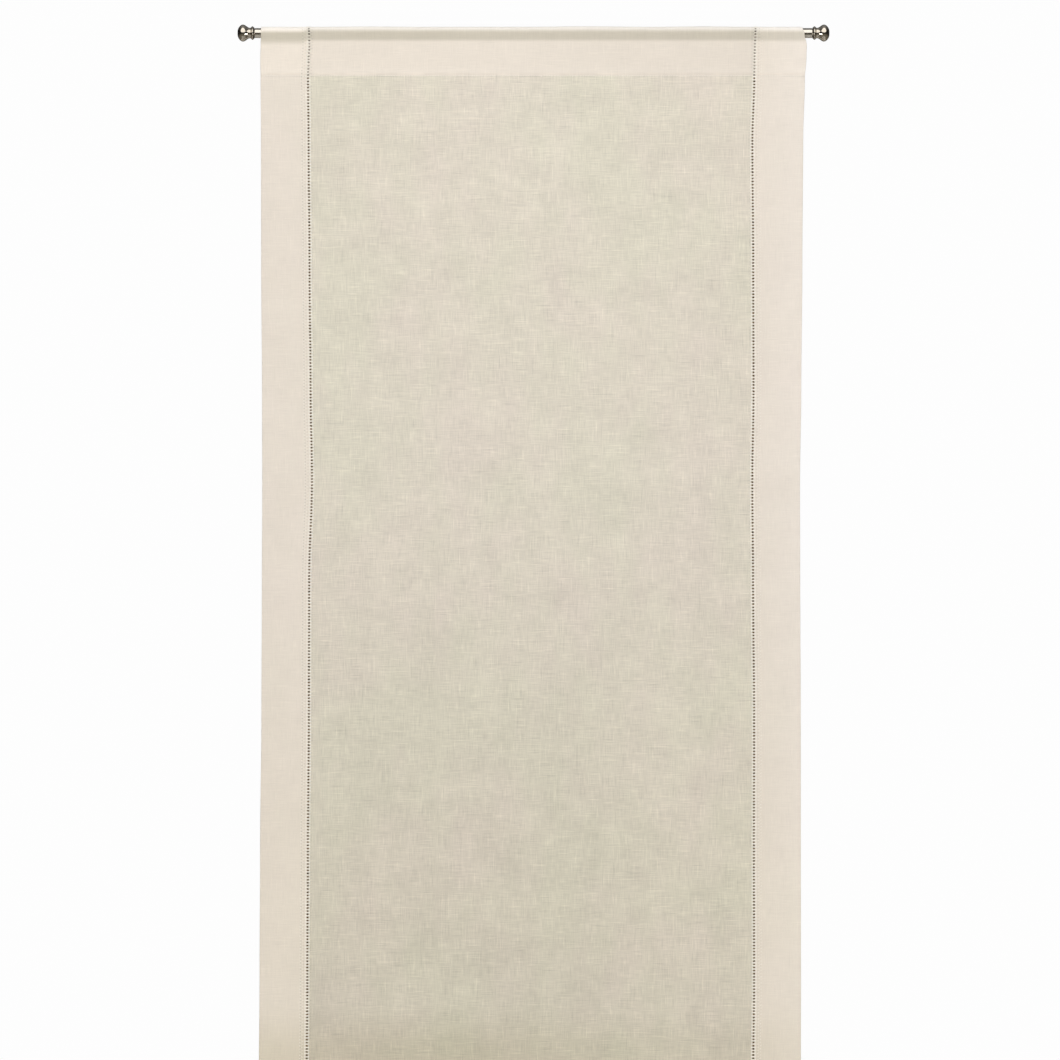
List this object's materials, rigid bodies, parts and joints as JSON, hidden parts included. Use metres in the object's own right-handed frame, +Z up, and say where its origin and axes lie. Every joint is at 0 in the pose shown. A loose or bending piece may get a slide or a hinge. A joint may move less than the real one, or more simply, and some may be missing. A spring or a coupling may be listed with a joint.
{
  "type": "cafe curtain on a rod",
  "caption": "Flat linen cafe curtain with doubled side bands set off by hemstitching, hung by its rod pocket on a slim metal rod with turned knob finials.",
  "frame": {"origin": "on the rod's axis, at the middle of the rod's length", "axes": "+X along the rod, +Z up, -Y towards the curtain's front"},
  "size_m": [0.6622, 0.019, 1.2212],
  "materials": {
    "linen": "natural oatmeal linen, plain weave, slightly sheer where it is one layer",
    "rod_metal": "polished dark nickel",
    "finial_metal": "polished dark nickel"
  },
  "bodies": {
    "root": {"curtain": "linen", "rod": "rod_metal", "finial_left": "finial_metal", "finial_right": "finial_metal"}
  },
  "joints": []
}
